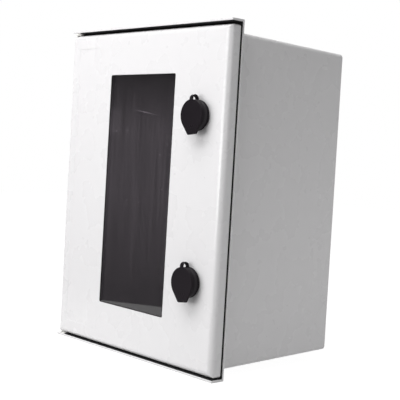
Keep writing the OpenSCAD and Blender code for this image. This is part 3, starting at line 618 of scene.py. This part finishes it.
def barrel_thread():
    """A helical ridge round the lock's barrel, from just inside the door to near the barrel's end."""
    form = bmesh.new()
    ridge = [(9.0, 0.2), (9.95, 0.65), (9.95, 0.95), (9.0, 1.4)]
    verts = [form.verts.new((radius * MM, depth * MM, 0)) for radius, depth in ridge]
    edges = [form.edges.new((verts[i], verts[i + 1])) for i in range(len(verts) - 1)]
    bmesh.ops.spin(
        form, geom=verts + edges, cent=(0, 0, 0), axis=(0, 1, 0), angle=ROUND * THREAD_TURNS,
        dvec=(0, THREAD_PITCH * MM / STEPS_A_TURN, 0), steps=THREAD_TURNS * STEPS_A_TURN,
    )
    bmesh.ops.remove_doubles(form, verts=form.verts, dist=MERGE)
    bmesh.ops.recalc_face_normals(form, faces=form.faces)
    return form


def thickened(form, reach):
    """Turns a flat face into a solid by carrying a copy of it this far."""
    made = bmesh.ops.extrude_face_region(form, geom=form.faces[:])["geom"]
    bmesh.ops.translate(form, verts=verts_in(made), vec=reach)
    bmesh.ops.recalc_face_normals(form, faces=form.faces)


def hexagon(radius, front, back, hole, edge):
    """A six-sided block on the depth axis, with a round hole where one is given and eased edges."""
    form = bmesh.new()
    bmesh.ops.create_circle(form, segments=6, radius=radius * MM, cap_ends=not hole)
    if hole:
        bmesh.ops.create_circle(form, segments=48, radius=hole * MM)
        bmesh.ops.bridge_loops(form, edges=form.edges[:])
    stand = Matrix.Translation((0, front * MM, 0)) @ Matrix.Rotation(math.pi / 2, 4, "X")
    bmesh.ops.transform(form, matrix=stand @ Matrix.Rotation(math.pi / 6, 4, "Z"), verts=form.verts)
    thickened(form, (0, (back - front) * MM, 0))
    rounded(form, sharp_edges(form, SHARP_ANGLE), edge, 2)
    return form


# Die-cast zinc, chromed dull: grey metal with a soft skin.
cast, tree, place = start_material("die_cast_zinc")
skin_flow = put(tree, "ShaderNodeTexNoise", {"Vector": place, "Scale": 1 / (2.5 * MM), "Detail": 3.0})
cast_gloss = put(tree, "ShaderNodeMapRange", {0: skin_flow.outputs[0], 1: 0.3, 2: 0.7, 3: 0.3, 4: 0.45})
cast_skin = put(tree, "ShaderNodeBump", {
    "Height": skin_flow.outputs[0], "Strength": 0.15, "Distance": 0.05 * MM,
})
metal = put(tree, "ShaderNodeBsdfPrincipled", {
    "Base Color": linear("#A7A9AB"), "Metallic": 1.0, "Roughness": cast_gloss.outputs[0],
    "Normal": cast_skin.outputs[0],
})
put(tree, "ShaderNodeOutputMaterial", {"Surface": metal.outputs[0]})
for level, lock_z in LOCK_Z.items():
    at_lock = Matrix.Translation((LOCK_X, FRONT, lock_z))
    dress(rubber, "lock_seal_" + level)
    dress(cast, "lock_spindle_" + level)
    housing = turned([
        (8.55, -7.9, 0.4), (17.2, -7.9, 0.8), (17.2, -3.7, 0.4), (14.4, -3.7, 0.3), (14.4, -1, 0.2),
        (9.1, -1, 0), (9.1, 20, 0.6), (6.05, 20, 0.4), (6.05, -1.6, 0), (8.55, -1.6, 0),
    ], steps=96)
    joined(housing, barrel_thread())
    bmesh.ops.transform(housing, matrix=at_lock, verts=housing.verts)
    settle(housing, "lock_body_" + level, nylon, "door", "black_nylon", "lock_housing_" + level)
    nut = hexagon(radius=15.58, front=3, back=8, hole=10, edge=0.5)
    bmesh.ops.transform(nut, matrix=at_lock, verts=nut.verts)
    settle(nut, "barrel_nut_" + level, zinc_plate, "door", "zinc_steel", "lock_nut_" + level)
    cam = eased(copied("lock_cam_" + level), 0.35)
    settle(cam, "stamped_cam_" + level, zinc_plate, "lock_" + level, "zinc_steel", "lock_cam_" + level)
    hex_screw = hexagon(radius=4.5, front=26.2, back=29.3, hole=0, edge=0.35)
    washer = turned([(0, 25.1, 0), (7, 25.1, 0.2), (7, 26.3, 0.3), (0, 26.3, 0)])
    joined(hex_screw, washer)
    bmesh.ops.transform(hex_screw, matrix=at_lock, verts=hex_screw.verts)
    lock = "lock_" + level
    settle(hex_screw, "cam_hex_screw_" + level, zinc_plate, lock, "zinc_screws", "cam_screw_" + level)

# Dust caps: each is one soft moulding with a thumb tab, a strap that bows over the top, and a ring
# that sits round the lock's neck and keeps the cap from getting lost. A few raised dots on the tab
# give the thumb a grip.
CAP_R = 17.5
CAP_FRONT = -13.1
TAB_HALF = 6.9
TAB_DROP = 21.9
TAB_T = 2.5
TAB_CORNER = 1.2
RIM_ANGLE = 60
DOT_R = 0.85
DOT_PITCH = 3.0
DOT_ROW_PITCH = 2.9
DOT_FIRST_ROW = -12.2
STRAP_HALF = 2.25
CAP_TURN = math.radians(-7)
# Moulded low-density polyethylene: black, matt and a little waxy, with a fine even grain.
# The grain is drawn at 0.5 mm so that it shows at all.
polyethylene, tree, place = start_material("moulded_polyethylene")
waxy = put(tree, "ShaderNodeTexNoise", {"Vector": place, "Scale": 1 / (7 * MM), "Detail": 3.0})
fine = put(tree, "ShaderNodeTexNoise", {"Vector": place, "Scale": 1 / (0.5 * MM), "Detail": 1.0})
coal = put(tree, "ShaderNodeMix", {
    0: waxy.outputs[0], 6: linear("#100A10"), 7: linear("#140E14"),
}, data_type="RGBA")
waxed = put(tree, "ShaderNodeMapRange", {0: waxy.outputs[0], 1: 0.3, 2: 0.7, 3: 0.46, 4: 0.56})
grained = put(tree, "ShaderNodeBump", {"Height": fine.outputs[0], "Strength": 0.15, "Distance": 0.04 * MM})
skin = put(tree, "ShaderNodeBsdfPrincipled", {
    "Base Color": coal.outputs[2], "Roughness": waxed.outputs[0], "Normal": grained.outputs[0], "IOR": 1.51,
    "Specular IOR Level": 0.13,
})
put(tree, "ShaderNodeOutputMaterial", {"Surface": skin.outputs[0]})


def cap_plate():
    """The cap's front with its thumb tab: a disc whose sides run on as tangents to the tab's corners."""
    form = bmesh.new()
    tangent = math.atan2(-TAB_DROP, TAB_HALF) + math.acos(CAP_R / math.hypot(TAB_HALF, TAB_DROP))
    arc_start, arc_end = tangent, math.pi - tangent
    steps = 64
    angles = [arc_start + (arc_end - arc_start) * i / steps for i in range(steps + 1)]
    points = [(CAP_R * math.cos(a), CAP_R * math.sin(a)) for a in angles]
    points += [(-TAB_HALF, -TAB_DROP), (TAB_HALF, -TAB_DROP)]
    verts = [form.verts.new((x * MM, CAP_FRONT * MM, z * MM)) for x, z in points]
    form.faces.new(verts)
    rounded(form, verts[-2:], TAB_CORNER, 4, "VERTICES")
    thickened(form, (0, TAB_T * MM, 0))
    rounded(form, sharp_edges(form, RIM_ANGLE), 0.5, 3)
    return form


def grip_dots():
    """Nine low domes on the tab, in rows that narrow with it."""
    form = bmesh.new()
    bmesh.ops.create_uvsphere(form, u_segments=14, v_segments=8, radius=DOT_R * MM)
    bmesh.ops.scale(form, verts=form.verts, vec=(1, 0.5, 1))
    places = []
    for row, count in enumerate((4, 3, 2)):
        for i in range(count):
            x = (i - (count - 1) / 2) * DOT_PITCH
            z = DOT_FIRST_ROW - DOT_ROW_PITCH * row
            places.append(Matrix.Translation((x * MM, CAP_FRONT * MM, z * MM)))
    return repeated(form, places)


def bowed_strap():
    """The strap in side view, rounded at its crown, given its width and cut across its crown in six places.
    """
    form = bmesh.new()
    outline = [
        (-12.4, 16.6, 0), (-12.4, 23.2, 5.1), (-2.05, 23.2, 5.1), (-2.05, 16.6, 0),
        (-3.8, 16.6, 0), (-3.8, 21.4, 3.3), (-10.65, 21.4, 3.3), (-10.65, 16.6, 0),
    ]
    half = STRAP_HALF * MM
    verts = [form.verts.new((-half, depth * MM, rise * MM)) for depth, rise, corner in outline]
    form.faces.new(verts)
    for vert, (depth, rise, corner) in zip(verts, outline):
        if corner:
            rounded(form, [vert], corner, 8, "VERTICES")
    thickened(form, (2 * half, 0, 0))
    rounded(form, sharp_edges(form, RIM_ANGLE), 0.25, 2)
    for cut_at in range(-10, -4):
        everything = form.verts[:] + form.edges[:] + form.faces[:]
        bmesh.ops.bisect_plane(form, geom=everything, plane_co=(0, cut_at * MM, 0), plane_no=(0, 1, 0))
    return form


for level, lock_z in LOCK_Z.items():
    at_cap = Matrix.Translation((LOCK_X, FRONT, lock_z)) @ Matrix.Rotation(CAP_TURN, 4, "Y")
    cap = cap_plate()
    skirt = turned([(15.7, -10.8, 0), (17.45, -10.8, 0), (17.45, -8.1, 0.4), (15.7, -8.1, 0.4)], steps=96)
    plug = turned([(7.05, -10.8, 0), (8.25, -10.8, 0), (8.25, -6.9, 0.4), (7.05, -6.9, 0.4)])
    joined(cap, skirt, plug, grip_dots())
    bmesh.ops.transform(cap, matrix=at_cap, verts=cap.verts)
    cover = "cover_" + level
    settle(cap, "dust_cap_" + level, polyethylene, cover, "black_polyethylene", "dust_cover_" + level)
    ring = turned([
        (14.55, -3.55, 0.4), (17.4, -3.55, 0.6), (17.4, -1.15, 0.6), (14.55, -1.15, 0.4),
    ], steps=96)
    bmesh.ops.transform(ring, matrix=at_cap, verts=ring.verts)
    settle(ring, "cap_ring_" + level, polyethylene, "door", "black_polyethylene", "cover_eyelet_" + level)
    strap = bowed_strap()
    bmesh.ops.transform(strap, matrix=at_cap, verts=strap.verts)
    strap = settle(strap, "cap_strap_" + level, polyethylene, "", "black_polyethylene")
    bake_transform(strap)

# Floor and background: a plain white table in a white room. Camera, mirror and glass rays see
# them at full white, and the floor darkens a little where the enclosure keeps the light off it.
TABLE_GLOW = 0.955
TABLE_SHADE = 0.25
ROOM_LIGHT = 0.2
WHITE = (1.0, 1.0, 1.0, 1.0)


def seen_rays(tree):
    """One for camera, mirror and glass rays, and nothing for the rest."""
    path = put(tree, "ShaderNodeLightPath")
    mirror_or_glass = put(tree, "ShaderNodeMath", {
        0: path.outputs["Is Glossy Ray"], 1: path.outputs["Is Transmission Ray"],
    }, operation="MAXIMUM")
    seen = put(tree, "ShaderNodeMath", {
        0: path.outputs["Is Camera Ray"], 1: mirror_or_glass.outputs[0],
    }, operation="MAXIMUM")
    return seen.outputs[0]


scene = bpy.context.scene
scene.view_settings.view_transform = "Standard"
floor_z = cad_box[0][2] - 0.2 * MM
floor_mesh = bmesh.new()
bmesh.ops.create_grid(floor_mesh, x_segments=1, y_segments=1, size=3.0)
bmesh.ops.translate(floor_mesh, verts=floor_mesh.verts, vec=(0, 0, floor_z))
floor_data = bpy.data.meshes.new("floor")
floor_mesh.to_mesh(floor_data)
floor_mesh.free()
floor = bpy.data.objects.new("floor", floor_data)
scene.collection.objects.link(floor)
white_table, tree, place = start_material("white_table")
lit = put(tree, "ShaderNodeBsdfDiffuse", {"Color": linear("#B0B0B0")})
shaded = put(tree, "ShaderNodeBsdfDiffuse", {"Color": (TABLE_SHADE, TABLE_SHADE, TABLE_SHADE, 1.0)})
glow = put(tree, "ShaderNodeEmission", {"Color": WHITE, "Strength": TABLE_GLOW})
white = put(tree, "ShaderNodeAddShader", {0: glow.outputs[0], 1: shaded.outputs[0]})
table = put(tree, "ShaderNodeMixShader", {0: seen_rays(tree), 1: lit.outputs[0], 2: white.outputs[0]})
put(tree, "ShaderNodeOutputMaterial", {"Surface": table.outputs[0]})
floor_data.materials.append(white_table)

world = bpy.data.worlds.new("white_room")
world.use_nodes = True
scene.world = world
tree = world.node_tree
tree.nodes.clear()
room_level = put(tree, "ShaderNodeMapRange", {0: seen_rays(tree), 1: 0.0, 2: 1.0, 3: ROOM_LIGHT, 4: 1.0})
room = put(tree, "ShaderNodeBackground", {"Color": WHITE, "Strength": room_level.outputs[0]})
put(tree, "ShaderNodeOutputWorld", {"Surface": room.outputs[0]})

# Studio flag: a grey card that stands on the table beside the set. Only mirror rays see it, and it
# is what the pane mirrors, with the white table below its foot.
FLAG_REACH = (-0.9, 0.35)
FLAG_HEIGHT = 0.75
FLAG_GLOW = 0.19
flag_start = Vector((-0.347, -0.426, floor_z))
flag_along = Vector((0.093, -0.051, 0)).normalized()
flag_mesh = bmesh.new()
foot = [flag_mesh.verts.new(flag_start + flag_along * reach) for reach in FLAG_REACH]
foot_edge = flag_mesh.edges.new(foot)
made = bmesh.ops.extrude_edge_only(flag_mesh, edges=[foot_edge])["geom"]
bmesh.ops.translate(flag_mesh, verts=verts_in(made), vec=(0, 0, FLAG_HEIGHT))
flag_data = bpy.data.meshes.new("studio_flag")
flag_mesh.to_mesh(flag_data)
flag_mesh.free()
flag = bpy.data.objects.new("studio_flag", flag_data)
scene.collection.objects.link(flag)
grey_card, tree, place = start_material("grey_card")
card = put(tree, "ShaderNodeEmission", {"Color": (1.0, 0.9, 1.0, 1.0), "Strength": FLAG_GLOW})
put(tree, "ShaderNodeOutputMaterial", {"Surface": card.outputs[0]})
flag_data.materials.append(grey_card)
flag.visible_camera = False
flag.visible_diffuse = False
flag.visible_shadow = False
flag.visible_transmission = False

# Studio lights: a soft box above the front that throws the locks' shadows down the door, a weaker one
# to the left, a broad low fill in front, a card and a weak low lamp that light the side wall, and a
# tall strip on the right that shows only as a gleam along the door's rounded edge.
DOOR_MIDDLE = (0.05, -0.2, 0.0)
# Each lamp: its name, size and power, where it stands, what it faces, and whether matt and glossy
# surfaces see it.
LAMPS = (
    ("top_box", (0.9, 0.9), 10.8, (0.1, -0.85, 1.1), DOOR_MIDDLE, True, True),
    ("left_box", (0.9, 0.9), 5.3, (-0.6, -1.1, 0.9), DOOR_MIDDLE, True, True),
    ("front_fill", (0.9, 0.5), 6.9, (-0.3, -1.4, 0.08), DOOR_MIDDLE, True, True),
    ("side_card", (0.6, 0.6), 0.26, (1.0, 0.1, -0.12), (0.14, -0.05, -0.12), True, False),
    ("table_light", (0.3, 0.3), 0.58, (0.6, 0.05, -0.13), (0.14, -0.03, -0.14), True, False),
    ("strip_light", (0.2, 0.6), 1.6, (1.535, -0.765, 0.25), (0.14, -0.2, 0.05), False, True),
)
for lamp_name, lamp_size, watts, lamp_from, lamp_to, on_matt, on_gloss in LAMPS:
    lamp_data = bpy.data.lights.new(lamp_name, "AREA")
    lamp_data.shape = "RECTANGLE"
    lamp_data.size, lamp_data.size_y = lamp_size
    lamp_data.energy = watts
    lamp = bpy.data.objects.new(lamp_name, lamp_data)
    scene.collection.objects.link(lamp)
    lamp.location = lamp_from
    lamp.rotation_mode = "QUATERNION"
    lamp.rotation_quaternion = (Vector(lamp_to) - Vector(lamp_from)).to_track_quat("-Z", "Y")
    lamp.visible_camera = False
    lamp.visible_diffuse = on_matt
    lamp.visible_glossy = on_gloss

# Camera: fitted to the photograph, a little above the enclosure's middle and off to its right, and
# rolled by about three degrees. The focal length is in pixels of the 400-pixel frame.
FRAME_PX = 400
FOCAL_PX = 946.43
AXIS_Y_PX = 179.70
CAMERA_PLACE = (0.8906783, -0.9238024, 0.0566493)
camera_data = bpy.data.cameras.new("camera")
camera_data.sensor_width = 36.0
camera_data.lens = FOCAL_PX / FRAME_PX * camera_data.sensor_width
camera_data.shift_y = (AXIS_Y_PX - FRAME_PX / 2) / FRAME_PX
camera_data.clip_start = 0.01
camera_data.clip_end = 50.0
camera = bpy.data.objects.new("camera", camera_data)
scene.collection.objects.link(camera)
camera_right = Vector((0.6737232, 0.7366801, 0.0583055))
camera_up = Vector((-0.0628515, -0.0214913, 0.9977915))
camera_back = camera_right.cross(camera_up)
turn = Matrix((camera_right, camera_up, camera_back)).transposed().to_4x4()
camera.matrix_world = Matrix.Translation(CAMERA_PLACE) @ turn
scene.camera = camera
